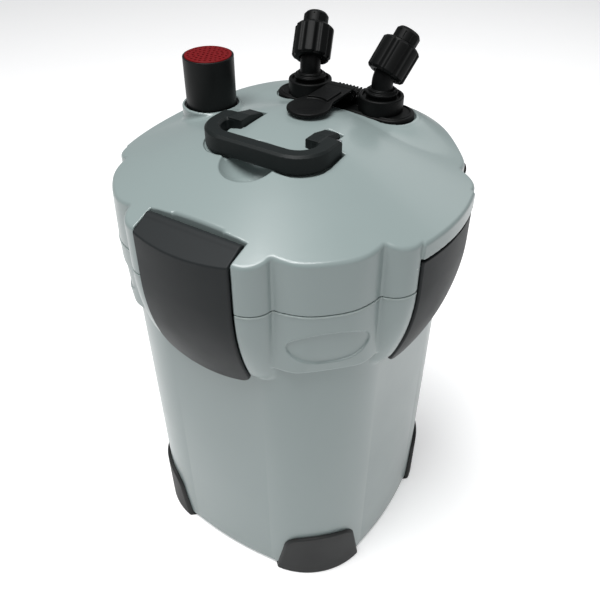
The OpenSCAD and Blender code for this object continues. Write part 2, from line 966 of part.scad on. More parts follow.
// Clip with a sloping top facet and a full-width hinge barrel
module facet_clip() {
    facet_fall = 0.5;
    difference() {
        union() {
            clip_skin(facet_bend_z + 8);
            translate([-clip_half, -facet_axis[0], facet_axis[1]]) rotate([0, 90, 0])
                cylinder(h = 2 * clip_half, r = facet_barrel_r);
            intersection() {
                rotate([90, 0, 90]) linear_extrude(height = 2 * clip_half, center = true)
                    polygon([[-145, facet_edge[1] - facet_fall * 30 - 3.8],
                             [-facet_axis[0], facet_axis[1] - 0.5],
                             [-facet_axis[0] - 1.5, facet_axis[1] + facet_barrel_r - 0.6],
                             [-145, facet_edge[1] - facet_fall * 30]]);
                clip_barrel(clip_r);
            }
        }
        // Trim everything over the facet plane
        rotate([90, 0, 90]) linear_extrude(height = 200, center = true)
            polygon([[-160, facet_edge[1] - facet_fall * 45], [-facet_edge[0] + 10, facet_edge[1] + 4.5],
                     [-facet_edge[0] + 10, 400], [-160, 400]]);
        translate([0, -facet_axis[0], facet_axis[1]]) rotate([0, 90, 0])
            cylinder(h = 200, r = clip_pin_r + 0.05, center = true);
    }
}

// Flush clip whose hinge barrel hides behind its skin
module flush_clip() {
    difference() {
        union() {
            clip_skin(side_top_z);
            translate([-clip_half, -side_axis[0], side_axis[1]]) rotate([0, 90, 0])
                cylinder(h = 2 * clip_half, r = side_barrel_r);
            intersection() {
                translate([-clip_half, -150, side_axis[1] - 3]) cube([2 * clip_half, 150 - side_axis[0], 4]);
                clip_barrel(clip_r - 1);
            }
        }
        translate([0, -side_axis[0], side_axis[1]]) rotate([0, 90, 0])
            cylinder(h = 200, r = clip_pin_r + 0.05, center = true);
    }
}

module clip_plate_front() { color(dark_grey) facet_clip(); }
module clip_plate_back() { color(dark_grey) rotate([0, 0, 180]) facet_clip(); }
module clip_plate_right() { color(dark_grey) rotate([0, 0, 90]) flush_clip(); }
module clip_plate_left() { color(dark_grey) rotate([0, 0, 270]) flush_clip(); }

module clip_hook(turn) {
    color(near_black)
    rotate([0, 0, turn])
        difference() {
            intersection() {
                translate([-14, -132, 252]) cube([28, 132 - 114.7, 20]);
                clip_barrel(clip_r - clip_t - 0.1);
            }
            translate([-20, -120, 260]) cube([40, 20, 20]);
        }
}

module clip_hook_front() { clip_hook(0); }
module clip_hook_right() { clip_hook(90); }
module clip_hook_back() { clip_hook(180); }
module clip_hook_left() { clip_hook(270); }

canister_bucket();
foot_pad_front_right();
foot_pad_back_right();
foot_pad_back_left();
foot_pad_front_left();
media_basket_lower();
media_basket_middle();
media_basket_upper();
filter_rings_block();
filter_wool_block();
filter_sponge_block();
intake_down_pipe();
head_cover();
head_base();
seal_ring();
motor_stator();
rotor_shaft();
shaft_bushes();
impeller_cover();
rotor_magnet();
impeller_wheel();
primer_cylinder();
primer_plunger();
primer_cap();
primer_spring();
carry_handle();
handle_pins();
clip_pins();
head_screws();
cord_gland();
valve_plate();
valve_body_left();
valve_body_right();
lock_collar_left();
lock_collar_right();
valve_seals();
valve_lever();
valve_shaft();
valve_ball_left();
valve_ball_right();
elbow_left();
elbow_right();
hose_tail_left();
hose_tail_right();
hose_nut_left();
hose_nut_right();
clip_plate_front();
clip_plate_right();
clip_plate_back();
clip_plate_left();
clip_hook_front();
clip_hook_right();
clip_hook_back();
clip_hook_left();
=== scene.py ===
"""Canister filter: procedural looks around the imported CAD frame.

Lengths in the shape functions are millimetres in the frame's own axes; meshes are scaled to metres when made.
"""
import math
import random

import bpy
import numpy as np
from mathutils import Matrix, Vector


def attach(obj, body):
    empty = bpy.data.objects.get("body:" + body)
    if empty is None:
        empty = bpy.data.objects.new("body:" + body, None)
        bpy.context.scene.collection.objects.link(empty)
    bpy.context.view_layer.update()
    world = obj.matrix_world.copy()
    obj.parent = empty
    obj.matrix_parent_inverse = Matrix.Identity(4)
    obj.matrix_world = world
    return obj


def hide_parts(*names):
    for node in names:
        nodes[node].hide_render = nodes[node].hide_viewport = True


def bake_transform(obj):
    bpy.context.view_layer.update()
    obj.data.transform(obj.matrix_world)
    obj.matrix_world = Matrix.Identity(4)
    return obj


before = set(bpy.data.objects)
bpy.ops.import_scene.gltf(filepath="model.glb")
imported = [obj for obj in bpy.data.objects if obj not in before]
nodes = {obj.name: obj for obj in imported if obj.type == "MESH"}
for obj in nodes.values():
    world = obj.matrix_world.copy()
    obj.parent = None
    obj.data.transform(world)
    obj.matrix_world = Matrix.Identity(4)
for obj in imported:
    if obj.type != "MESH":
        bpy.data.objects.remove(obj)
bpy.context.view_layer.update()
MM = 0.001

# Driving dimensions, as in the CAD
SEAM_Z = 322.0
HEAD_Z = 322.4
FOOT_HALF = 108.0
SEAM_HALF = 112.4
CORNER_AT = 45.5
WALL = 3.2
PILLAR_AT = (41.5, 113.5)
PILLAR_R = 19.5
PANEL_AT = 81.5
PANEL_R = 57.1
PANEL_MID = PANEL_AT + PANEL_R
BARREL_Y = 26.0
CLIP_R = 166.0
CLIP_HALF = 40.7
CLIP_T = 3.0
SLOT_HALF = CLIP_HALF + 0.8
DOME_Z = 398.0
DOME_FLAT = 38.0
DOME_SLOPE = 0.35
DECK_Z = 384.5
BAND_Z = 348.5
NOTCH_Y = 113.4
PRIMER = (-95.6, 24.7)
PRIMER_R = 20.7
PRIMER_TOP = 423.5
PRIMER_WALL = 2.5
PRIMER_FOOT = 364.0
PRIMER_COLLAR_R = 24.6
PRIMER_COLLAR_Z = 384.6
PRIMER_BORE_R = 22.5
SPRING_Z = (330.6, 418.9)
VALVE_X = 33.5
VALVE_Y = 80.0
PLATE_HALF = (62.0, 18.5)
SEAT_Z = 383.5
PLATE_Z = 388.0
COLLAR_Z = 400.0
BEND_Z = 413.0
TILT = math.radians(40.0)
OUTLETS = {"left": (-1, math.radians(111.0)), "right": (1, math.radians(70.0))}
HANDLE_HALF = 52.0
HANDLE_FRONT = 54.0
HANDLE_W = 12.0
HANDLE_TOP = 402.0
HANDLE_FOOT = 388.0
HANDLE_AXIS = 393.0
LUG = (28.0, 40.0)
SCOOP_Y = HANDLE_FRONT + 2.0
SCOOP_Z = 399.5
SCOOP_R = 24.0
FACET_HINGE = (118.6, 364.0)
FLUSH_HINGE = (131.5, 342.5)
CLIP_OPEN = math.radians(75.0)
# Fillets where the pillars and the corner panels meet the wall
PILLAR_FILLET = 2.2
PANEL_FILLET = 1.8


# ---------------------------------------------------------------- distance fields
def length(*parts):
    total = 0.0
    for a in parts:
        total = total + a * a
    return np.sqrt(total)


def join(a, b, r=0.0):
    """Union with a fillet of radius r in the corner between the two."""
    if r == 0.0:
        return np.minimum(a, b)
    return np.maximum(r, np.minimum(a, b)) - length(np.maximum(r - a, 0), np.maximum(r - b, 0))


def both(a, b, r=0.0):
    """Intersection with the shared edge rounded to radius r."""
    if r == 0.0:
        return np.maximum(a, b)
    return np.minimum(-r, np.maximum(a, b)) + length(np.maximum(a + r, 0), np.maximum(b + r, 0))


def cut(a, b, r=0.0):
    return both(a, -b, r)


def chamfer(a, b, c):
    """Intersection with a flat chamfer of leg c."""
    return np.maximum(np.maximum(a, b), (a + b + c) * math.sqrt(0.5))


def soft_both(a, b, k):
    """Intersection of two nearly parallel surfaces, blended over k."""
    h = np.maximum(k - np.abs(a - b), 0) / k
    return np.maximum(a, b) + h * h * k * 0.25


def box2(u, v, half_u, half_v, r=0.0):
    qu, qv = np.abs(u) - (half_u - r), np.abs(v) - (half_v - r)
    return length(np.maximum(qu, 0), np.maximum(qv, 0)) + np.minimum(np.maximum(qu, qv), 0) - r


def slab(z, low, high):
    return np.abs(z - (low + high) / 2) - (high - low) / 2


def folded(x, y):
    """Eight-fold wedge coordinates: a along a side from its middle, b outwards from it."""
    ax, ay = np.abs(x), np.abs(y)
    return np.minimum(ax, ay), np.maximum(ax, ay)


def diagonal(x, y):
    """Coordinates on a corner's diagonal: t across it and u outwards along it."""
    a, b = folded(x, y)
    return (b - a) * math.sqrt(0.5), (b + a) * math.sqrt(0.5)


# ---------------------------------------------------------------- mesh from a field
CORNERS = [(i, j, k) for i in (0, 1) for j in (0, 1) for k in (0, 1)]
EDGES = [(a, b) for a in CORNERS for b in CORNERS if a < b and sum(q - p for p, q in zip(a, b)) == 1
         and all(q >= p for p, q in zip(a, b))]


def sampled(shape, xs, ys, zs):
    """Field values on the grid, a few layers at a time."""
    f = np.empty((len(xs), len(ys), len(zs)), np.float32)
    x = xs[:, None, None].astype(np.float32)
    y = ys[None, :, None].astype(np.float32)
    layers = 12
    for k in range(0, len(zs), layers):
        z = zs[None, None, k:k + layers].astype(np.float32)
        gx, gy, gz = np.broadcast_arrays(x, y, z)
        f[:, :, k:k + layers] = shape(gx, gy, gz)
    return f


def slopes(shape, v):
    """Gradient of the field at the points v."""
    e = 0.02
    g = np.empty_like(v)
    for i in range(3):
        lo, hi = v.copy(), v.copy()
        lo[:, i] -= e
        hi[:, i] += e
        g[:, i] = (shape(*hi.T) - shape(*lo.T)) / (2 * e)
    return g


def settle(shape, v, reach, rounds=3):
    """Moves the points onto the surface, each by at most reach in all."""
    start = v.copy()
    for _ in range(rounds):
        g = slopes(shape, v)
        step = (shape(*v.T) / np.maximum((g * g).sum(1), 0.05))[:, None] * g
        v = start + np.clip(v - step - start, -reach, reach)
    return v


def nets(f, xs, ys, zs):
    """Surface nets: one vertex in each cell that the surface crosses, one quad round each crossed edge."""
    inside = f < 0
    count = np.zeros([n - 1 for n in f.shape], np.uint8)
    for i, j, k in CORNERS:
        count += inside[i:i + count.shape[0], j:j + count.shape[1], k:k + count.shape[2]]
    cells = np.argwhere((count > 0) & (count < 8))
    index = np.full(count.shape, -1, np.int64)
    index[tuple(cells.T)] = np.arange(len(cells))
    total = np.zeros((len(cells), 3))
    hits = np.zeros(len(cells))
    for a, b in EDGES:
        fa = f[tuple((cells + a).T)]
        fb = f[tuple((cells + b).T)]
        crossed = (fa < 0) != (fb < 0)
        t = np.where(crossed, fa / np.where(crossed, fa - fb, 1), 0)
        point = np.array(a) + t[:, None] * (np.array(b) - np.array(a))
        total += point * crossed[:, None]
        hits += crossed
    local = cells + total / hits[:, None]
    axes = (xs, ys, zs)
    verts = np.stack([np.interp(local[:, i], np.arange(len(axes[i])), axes[i]) for i in range(3)], 1)
    quads = []
    for axis in range(3):
        u, w = (axis + 1) % 3, (axis + 2) % 3
        first = [slice(1, -1)] * 3
        first[axis] = slice(0, f.shape[axis] - 1)
        second = list(first)
        second[axis] = slice(1, f.shape[axis])
        a, b = inside[tuple(first)], inside[tuple(second)]
        for outward, mask in ((True, a & ~b), (False, b & ~a)):
            at = np.argwhere(mask)
            at[:, u] += 1
            at[:, w] += 1
            ring = []
            for du, dw in ((-1, -1), (0, -1), (0, 0), (-1, 0)):
                c = at.copy()
                c[:, u] += du
                c[:, w] += dw
                ring.append(index[tuple(c.T)])
            quad = np.stack(ring, 1)
            quads.append(quad if outward else quad[:, ::-1])
    return verts, np.concatenate(quads)


def new_object(name, verts, faces):
    mesh = bpy.data.meshes.new(name)
    mesh.from_pydata((np.asarray(verts) * MM).tolist(), [], np.asarray(faces).tolist() if len(faces) else [])
    mesh.update()
    obj = bpy.data.objects.new(name, mesh)
    bpy.context.scene.collection.objects.link(obj)
    return obj


def spaced(low, high, step):
    return np.linspace(low, high, max(int(math.ceil((high - low) / step)), 2) + 1)


def carve(name, shape, xs, ys, zs, keep=0.3):
    """Object whose surface is where shape is zero. keep is the share of triangles that stays."""
    f = sampled(shape, xs, ys, zs)
    verts, quads = nets(f, xs, ys, zs)
    reach = 0.9 * max(xs[1] - xs[0], ys[1] - ys[0], np.diff(zs).min())
    verts = settle(shape, verts, reach)
    obj = new_object(name, verts, quads)
    if keep < 1:
        lean = obj.modifiers.new("lean", "DECIMATE")
        lean.ratio = keep
        lean.use_collapse_triangulate = True
        applied(obj)
    mesh = obj.data
    v = np.empty(len(mesh.vertices) * 3, np.float32)
    mesh.vertices.foreach_get("co", v)
    v = v.reshape(-1, 3).astype(np.float64) / MM
    v = settle(shape, v, reach / 2, rounds=2)
    mesh.vertices.foreach_set("co", (v * MM).astype(np.float32).ravel())
    n = slopes(shape, v)
    n /= np.maximum(np.linalg.norm(n, axis=1), 1e-6)[:, None]
    mesh.shade_smooth()
    mesh.normals_split_custom_set_from_vertices(n.tolist())
    mesh.update()
    return obj


def applied(obj):
    """Applies the object's modifiers to its own mesh."""
    graph = bpy.context.evaluated_depsgraph_get()
    baked = bpy.data.meshes.new_from_object(obj.evaluated_get(graph))
    obj.modifiers.clear()
    old = obj.data
    obj.data = baked
    bpy.data.meshes.remove(old)


# ---------------------------------------------------------------- shell forms
def wall_form(x, y, half):
    qx, qy = np.abs(x) - CORNER_AT, np.abs(y) - CORNER_AT
    return (length(np.maximum(qx, 0), np.maximum(qy, 0)) + np.minimum(np.maximum(qx, qy), 0)
            - (half - CORNER_AT))


def bucket_half(z):
    return FOOT_HALF + (SEAM_HALF - FOOT_HALF) * z / SEAM_Z


def pillar_form(x, y, z):
    """Pillars beside the clips: upright above the seam, curling inwards below it."""
    a, b = folded(x, y)
    curl_r, end_z, end_round = 161.0, 246.0, 13.0
    drop = np.clip(SEAM_Z - z, 0, 100)
    post = length(a - PILLAR_AT[0], b - PILLAR_AT[1] + curl_r - np.sqrt(curl_r ** 2 - drop ** 2)) - PILLAR_R
    return both(post, end_z - z, end_round)


def panel_form(x, y, z):
    """Corner panels: a drum that curves in below the seam and leans in above it."""
    t, u = diagonal(x, y)
    foot_r, top_r, top_z, lip_z = 330.0, 136.5, 366.0, 268.0
    drum = length(t, u - PANEL_AT) - PANEL_R
    foot = length(t, u + foot_r - PANEL_MID - 0.1, np.minimum(z - SEAM_Z, 0)) - foot_r
    lean = (PANEL_MID - top_r) / (top_z - SEAM_Z)
    cone = length(x, y) - PANEL_MID + np.maximum(z - SEAM_Z, 0) * lean
    return both(soft_both(soft_both(drum, foot, 2.0), cone, 2.0), lip_z - z, 2.6)


def bulge(x, y, z):
    """Outward bow of the bucket's sides, strongest low down and gone under the clips."""
    a, _ = folded(x, y)
    most, end_z, run = 3.2, 232.0, 150.0
    rise = np.clip((end_z - z) / run, 0, 1)
    return most * np.maximum(1 - (a / CORNER_AT) ** 2, 0) * rise * rise * (3 - 2 * rise)


def clip_channel(x, y):
    """Room behind each clip, from the wall outwards."""
    a, b = folded(x, y)
    return both(a - SLOT_HALF, (SEAM_HALF - 2.5) - b)


def bucket_field(x, y, z):
    a, b = folded(x, y)
    t, u = diagonal(x, y)
    body = both(wall_form(x, y, bucket_half(z)) - bulge(x, y, z), 2.0 - z, 3.0)
    pillar = cut(pillar_form(x, y, z), clip_channel(x, y), 1.2)
    panel = panel_form(x, y, z)
    shape = join(join(body, pillar, PILLAR_FILLET), panel, PANEL_FILLET)
    dish_z, half_t, half_z, depth = 292.0, 30.0, 14.0, 1.5
    oval = (length(t / half_t, (z - dish_z) / half_z) - 1.0) * half_z
    dish = both(oval, -(panel + depth), 0.9)
    dish = np.maximum(dish, 100.0 - u)
    shape = cut(shape, dish, 0.8)
    ledge_half, ledge_out, floor_z = 16.0, 113.9, 6.0
    ledge = both(a - ledge_half, both(b - ledge_out, slab(z, 261.0, 265.0), 0.5), 0.5)
    shape = join(shape, ledge, 0.5)
    hollow = both(wall_form(x, y, bucket_half(z) - WALL), floor_z - z, 4.0)
    shape = cut(shape, hollow, 0.5)
    return both(shape, z - SEAM_Z, 0.6)


def dome_height(x, y):
    """Height of the head's top: a flat crown, a cone, and a deck that falls away behind the valve block."""
    r = length(x, y)
    crown_ease, deck_ease, blend = 16.0, 5.0, 7.0
    ramp = 0.5 * (r - DOME_FLAT + length(r - DOME_FLAT, crown_ease))
    cone = DOME_Z - DOME_SLOPE * ramp
    away = stadium(x, y - VALVE_Y, 66.0, 22.5)
    # the deck falls faster on the right of the valve block than on the left
    fall = 0.45 + 0.2 * np.tanh(x / 30.0)
    deck = DECK_Z - fall * 0.5 * (away + length(away, deck_ease) - deck_ease)
    return soft_both(cone, deck, blend)


def ring_form(x, y, half, front, r, back):
    """Plan of the handle: a rounded rectangle, open at the back."""
    qx, qy = np.abs(x) - (half - r), -y - (front - r)
    d = length(np.maximum(qx, 0), np.maximum(qy, 0)) + np.minimum(np.maximum(qx, qy), 0) - r
    return np.maximum(d, y - back)


def recess_form(x, y):
    """Plan of the recess that the handle folds into, with room round its bar, bridges and lugs."""
    gap, lug_gap = 1.5, 0.6
    ring = cut(ring_form(x, y, HANDLE_HALF + gap, HANDLE_FRONT + gap, 27.5, -10.0),
               ring_form(x, y, HANDLE_HALF - HANDLE_W - gap, HANDLE_FRONT - HANDLE_W - gap, 12.5, 60.0))
    lug = box2(np.abs(x) - (LUG[0] + LUG[1]) / 2, y + 5.25, (LUG[1] - LUG[0]) / 2 + lug_gap, 14.75, lug_gap)
    bridge = box2(np.abs(x) - 46.5, y + 17.0, 7.0, 7.0)
    return np.minimum(np.minimum(ring, lug), bridge)


def stadium(x, y, half, width):
    """Long oval with round ends: half its length and half its width."""
    return length(np.maximum(np.abs(x) - (half - width), 0), y) - width


def head_field(x, y, z):
    # the slope makes heights longer than distances, so they are scaled down
    top = (z - dome_height(x, y)) * 0.93
    square = wall_form(x, y, SEAM_HALF + 0 * z)
    band = both(np.abs(y) - PILLAR_AT[0], length(y, np.abs(x) + BARREL_Y) - (CLIP_R + 0.5))
    panel = panel_form(x, y, np.maximum(z, SEAM_Z))
    pillar = pillar_form(x, y, np.maximum(z, SEAM_Z))
    outer = join(join(join(square, pillar, PILLAR_FILLET), panel, PANEL_FILLET), band, 1.0)
    shape = both(outer, top, 2.4)
    notch = both(np.abs(x) - SLOT_HALF, NOTCH_Y - np.abs(y))
    slot = both(both(np.abs(y) - SLOT_HALF, SEAM_HALF - np.abs(x)), z - BAND_Z)
    px, py = x - PRIMER[0], y - PRIMER[1]
    primer = length(px, py)
    slot = np.maximum(slot, PRIMER_COLLAR_R - primer)
    shape = cut(cut(shape, notch, 0.9), slot, 0.7)
    # the flush clips' upper edges are arcs, so the room for their swing is a body of revolution
    edge_in, edge_up, gap = 8.5 - y * y / (2 * CLIP_R), 3.5, 0.6
    sweep = np.sqrt(edge_in ** 2 + edge_up ** 2) + gap
    relief = both(length(np.abs(x) - FLUSH_HINGE[0], z - FLUSH_HINGE[1]) - sweep, np.abs(y) - SLOT_HALF)
    shape = cut(shape, relief, 0.4)
    # hollow inside, with the tubs under the handle, the scoop and the primer left standing
    tub_z, scoop_tub_z, tube_z = 383.0, 371.0, 326.0
    inner = both(join(square, panel, 0.0) + WALL, top + WALL + 0.4, 2.0)
    tub = both(box2(x, y + 22.0, HANDLE_HALF + 5.0, 37.0, 3.0), tub_z - z)
    scoop_tub = both(length(x, y + SCOOP_Y) - SCOOP_R - 1.0, scoop_tub_z - z)
    tube = both(primer - PRIMER_COLLAR_R, tube_z - z)
    hollow = np.maximum(inner, -np.minimum(np.minimum(tub, scoop_tub), tube))
    shape = cut(shape, hollow, 0.5)
    # raised collar, seat and the cuts from above
    collar_foot, boss_foot, recess_z, bore_foot = 360.0, 374.0, 386.0, 325.0
    collar = both(both(primer - PRIMER_COLLAR_R, z - PRIMER_COLLAR_Z, 1.6), collar_foot - z)
    shape = join(shape, collar, 3.0)
    seat_y = y - VALVE_Y
    boss = both(both(stadium(x, seat_y, 65.5, 22.0), z - DECK_Z, 1.2), boss_foot - z)
    boss = np.maximum(boss, -(top + WALL))
    shape = join(shape, boss, 2.0)
    pocket = both(stadium(x, seat_y, 63.0, 19.5), SEAT_Z - z)
    socket = length(np.abs(x) - VALVE_X, seat_y) - 16.0
    shape = cut(shape, np.minimum(pocket, socket), 0.5)
    shape = cut(shape, both(primer - PRIMER_BORE_R, bore_foot - z), 0.8)
    recess = both(recess_form(x, y), recess_z - z, 0.6)
    shape = cut(shape, recess, 0.9)
    shape = cut(shape, length(x, y + SCOOP_Y, z - SCOOP_Z) - SCOOP_R, 1.0)
    return both(shape, HEAD_Z - z, 0.5)


# ---------------------------------------------------------------- smaller forms
def bead_field(x, y, z):
    """Thin bead that fills the seam's groove, 0.4 mm proud of the bucket; it wears a plastic lighter than the
    shell's as a painted highlight along the seam.
    """
    a, b = folded(x, y)
    level = SEAM_Z + 0 * z
    pillar = cut(pillar_form(x, y, level), clip_channel(x, y), 1.2)
    outline = join(wall_form(x, y, SEAM_HALF + 0 * z), pillar, PILLAR_FILLET)
    outline = join(outline, panel_form(x, y, level), PANEL_FILLET)
    ring = both(outline - 0.4, -(outline + 1.6))
    ring = cut(ring, both(a - SLOT_HALF - 1.0, 100.0 - b))
    return both(ring, slab(z, SEAM_Z - 1.5, SEAM_Z - 0.15), 0.35)


def pad_field(x, y, z):
    """Foot pad on the front right corner."""
    t = (x + y) * math.sqrt(0.5)
    proud, half_foot, taper, top_z, crown = 3.6, 40.0, 0.175, 57.0, 5.5
    outer = wall_form(x, y, bucket_half(z) + proud)
    inner = both(wall_form(x, y, bucket_half(z) + 0.1), 1.9 - z)
    side = (np.abs(t) - half_foot + taper * z) * 0.985
    top = z - top_z + crown * (t / 27.0) ** 2
    profile = both(both(side, top, 9.0), -z, 0.6)
    profile = np.maximum(profile, t - x)
    pad = both(outer, profile, 1.5)
    under = both(length(x, y) - 104.0, z - 3.0)
    return cut(cut(pad, inner, 0.4), under, 0.4)


def barrel_form(x, b, z, r):
    """Clip skin of radius r: a barrel above the seam, a ball below it."""
    return length(x, b + BARREL_Y, np.minimum(z - SEAM_Z, 0)) - r


def clip_profile(x, z):
    """Front view of a clip: straight sides and a foot that arches up towards its corners."""
    foot_z, arch = 239.0, 6.0
    foot = (foot_z + arch * (x / CLIP_HALF) ** 2 - z) * 0.97
    return both(np.abs(x) - CLIP_HALF, foot, 10.0)


def clip_ribs(x, b, z, high):
    """Two upright stiffening ribs inside a clip plate."""
    ribs = both(np.abs(np.abs(x) - 24.0) - 0.9, barrel_form(x, b, z, CLIP_R - 1.0))
    return both(both(ribs, -barrel_form(x, b, z, CLIP_R - 7.0)), slab(z, 275.0, high))


def facet_field(x, y, z):
    """Front clip plate with a sloping top facet."""
    b = -y
    edge_b, edge_z, fall = 115.0, 370.7, 0.5
    facet = (z - edge_z + fall * (b - edge_b)) / math.hypot(1, fall)
    outer = both(barrel_form(x, b, z, CLIP_R), facet, 1.0)
    inner = both(barrel_form(x, b, z, CLIP_R - CLIP_T), facet + CLIP_T + 0.2, 1.5)
    shell = both(cut(outer, inner, 0.3), edge_b - b, 0.6)
    d, h = b - FACET_HINGE[0], z - FACET_HINGE[1]
    hinge = both(length(d, h) - 4.5, np.abs(x) - CLIP_HALF, 0.5)
    shell = join(join(shell, clip_ribs(x, b, z, 352.0), 0.8), hinge, 1.0)
    # nothing may swing back into the head's notch while the clip opens
    reach = 4.8
    swung = np.maximum(-d, h * math.sin(CLIP_OPEN) - d * math.cos(CLIP_OPEN))
    room = np.where(np.arctan2(h, d) > math.pi - CLIP_OPEN, length(d, h), swung) - reach
    return both(both(shell, room, 0.4), clip_profile(x, z), 1.1)


def flush_field(x, y, z):
    """Clip plate that ends below the head's band."""
    b = -y
    shell = cut(barrel_form(x, b, z, CLIP_R), barrel_form(x, b, z, CLIP_R - CLIP_T), 0.3)
    top_z = 346.0
    shell = both(shell, z - top_z, 0.8)
    bridge = both(both(FLUSH_HINGE[0] - b, barrel_form(x, b, z, CLIP_R - 1.0)), slab(z, 339.5, 343.5))
    hinge = both(length(b - FLUSH_HINGE[0], z - FLUSH_HINGE[1]) - 3.2, np.abs(x) - CLIP_HALF, 0.5)
    shell = join(join(join(shell, clip_ribs(x, b, z, 330.0), 0.8), bridge, 0.8), hinge, 0.8)
    shell = both(shell, 112.0 - b)
    return both(shell, clip_profile(x, z), 1.1)


def handle_field(x, y, z):
    ring = cut(ring_form(x, y, HANDLE_HALF, HANDLE_FRONT, 26.0, -12.0),
               ring_form(x, y, HANDLE_HALF - HANDLE_W, HANDLE_FRONT - HANDLE_W, 14.0, 60.0))
    bridge = box2(np.abs(x) - 40.0, y + 18.0, 6.0, 6.0)
    plan = join(ring, bridge, 3.0)
    bar = chamfer(both(plan, HANDLE_FOOT - z, 1.2), z - HANDLE_TOP, 1.8)
    top = (z - np.minimum(HANDLE_TOP, 399.3 - 0.225 * y)) * 0.98
    side = both(both(top, 388.0 - 0.054 * (y + 24.0) - z), slab(y, -24.0, 0.0))
    side = join(side, length(y, z - HANDLE_AXIS) - 6.3)
    lug = chamfer(side, np.abs(np.abs(x) - 34.0) - 6.0, 0.8)
    return join(bar, lug, 1.0)


def cap_field(x, y, z):
    """Primer cap with rings of small pits."""
    top_z, pit_z, pit_r, ring_step = 424.3, 423.1, 1.0, 4.0
    disc = chamfer(both(length(x, y) - (PRIMER_R - 1.5), z - top_z, 0.9), PRIMER_TOP - 1.4 - z, 0.2)
    r = length(x, y)
    turn = np.arctan2(y, x)
    pits = r - pit_r
    for ring in (1, 2, 3, 4):
        pitch = math.pi / (3 * ring)
        off = (turn - pitch * np.round(turn / pitch)) * ring * ring_step
        pits = np.minimum(pits, length(r - ring * ring_step, off) - pit_r)
    return cut(disc, both(pits, pit_z - z), 0.35)


def plate_field(x, y, z):
    """Valve plate with a raised ridge, a comb of fins, two shaft ears and the valve holes."""
    plan = stadium(x, y, *PLATE_HALF)
    plate = both(both(plan, z - PLATE_Z, 1.8), SEAT_Z - z, 0.4)
    ridge = both(np.abs(plan + 3.2) - 0.7, slab(z, PLATE_Z - 0.5, PLATE_Z + 0.7), 0.4)
    plate = join(plate, ridge, 0.5)
    pitch = 3.4
    fins = both(np.abs(x - pitch * np.round(x / pitch)) - 0.7, np.abs(x) - 14.6)
    crown = (z - 395.2 + 0.012 * (y - 12.0) ** 2)
    fins = both(both(fins, slab(y, 7.6, 16.4), 0.3), both(crown, 387.0 - z), 0.4)
    ears = both(np.abs(np.abs(x) - 14.2) - 1.1, both(slab(y, -4.0, 4.0), z - 396.4, 2.5), 0.4)
    ears = both(ears, 387.0 - z)
    holes = length(np.abs(x) - VALVE_X, y) - 12.1
    return cut(join(join(plate, fins, 0.4), ears, 0.6), holes, 0.3)


def lever_field(x, y, z):
    """Paddle lever; y is measured from the shaft."""
    disc_y, low, high = 25.0 - VALVE_Y, 399.6, 402.4
    disc = length(x, y - disc_y) - 17.0
    stem = box2(x, y + 28.0, 12.0, 24.0, 2.0)
    plan = join(disc, stem, 5.0)
    paddle = both(both(plan, z - high, 1.1), low - z, 1.1)
    cup = length(x, y - disc_y + 1.0, z - high - 58.0) - 59.0
    paddle = cut(paddle, cup, 0.5)
    step = both(both(box2(x, y + 36.0, 9.0, 17.0, 3.0), z - 404.3, 0.8), 401.0 - z)
    step = np.maximum(step, -(length(x, y - disc_y) - 15.0))
    hub = both(length(y, z - 392.5) - 5.0, np.abs(x) - 12.0, 0.6)
    web = both(both(np.abs(x) - 12.0, slab(y, -9.0, -2.0), 0.6), slab(z, 392.5, high), 0.6)
    return join(join(join(paddle, step, 1.0), web, 1.5), hub, 1.0)


def bend_form(p, w, q, r):
    """Tube along an elbow: p is out along the outlet, w across, q up from the bend."""
    bend_r = 13.0
    tangent = bend_r * math.tan(TILT / 2)
    dp, dq = p - bend_r, q + tangent
    arc = length(length(dp, dq) - bend_r, w) - r
    low = length(p, w) - r
    out = length(p * math.cos(TILT) - q * math.sin(TILT), w) - r
    past = np.arctan2(dq, -dp) > TILT
    return np.where(dq < 0, low, np.where(past, out, arc))


def elbow_field(x, y, z):
    """Elbow in its own frame: the outlet leans towards +X."""
    q = z - BEND_Z
    s = x * math.sin(TILT) + q * math.cos(TILT)
    foot = 401.3
    tube = both(both(bend_form(x, y, q, 8.5), foot - z, 0.3), s - 20.0, 0.6)
    flange = both(length(x, y) - 13.0, slab(z, foot, foot + 2.2), 0.7)
    ring = both(length(x, y) - 10.6, slab(z, foot, foot + 4.0), 0.6)
    return cut(join(join(tube, ring, 0.8), flange, 0.8), bend_form(x, y, q, 6.0), 0.4)


def nut_field(x, y, z):
    """Fluted union nut along Z."""
    r = length(x, y)
    pitch = math.pi / 4
    turn = np.arctan2(y, x)
    off = turn - pitch * (np.floor(turn / pitch) + 0.5)
    groove = length(r * np.cos(off) - 17.6, (r * np.sin(off)) * 1.1) - 3.3
    body = cut(r - 16.0, groove, 1.0)
    body = chamfer(chamfer(body, z - 29.0, 2.0), 2.5 - z, 1.6)
    collar = both(r - 14.0, slab(z, 2.5, 29.0), 0.6)
    body = join(body, collar, 0.4)
    bore = np.minimum(r - 9.4, both(r - 12.5, slab(z, 8.0, 25.0)))
    return cut(body, bore, 0.5)


def tail_field(x, y, z):
    """Hose tail along Z with a bevelled end and shallow grip slots."""
    r = length(x, y)
    pitch = math.pi / 6
    turn = np.arctan2(y, x)
    off = r * np.sin(turn - pitch * np.round(turn / pitch))
    body = both(r - 12.0, slab(z, 20.1, 24.1), 0.3)
    body = join(body, both(r - 9.0, slab(z, 20.1, 36.0)))
    bevel = (r - 10.2 + np.maximum(z - 37.4, 0) * 0.85) * 0.9
    end = both(bevel, slab(z, 29.4, 40.0), 0.7)
    slot = both(np.abs(off) - 0.45, both(9.7 - r, slab(z, 31.0, 36.4)))
    end = cut(end, slot, 0.2)
    return cut(join(body, end, 0.3), r - 6.0, 0.5)


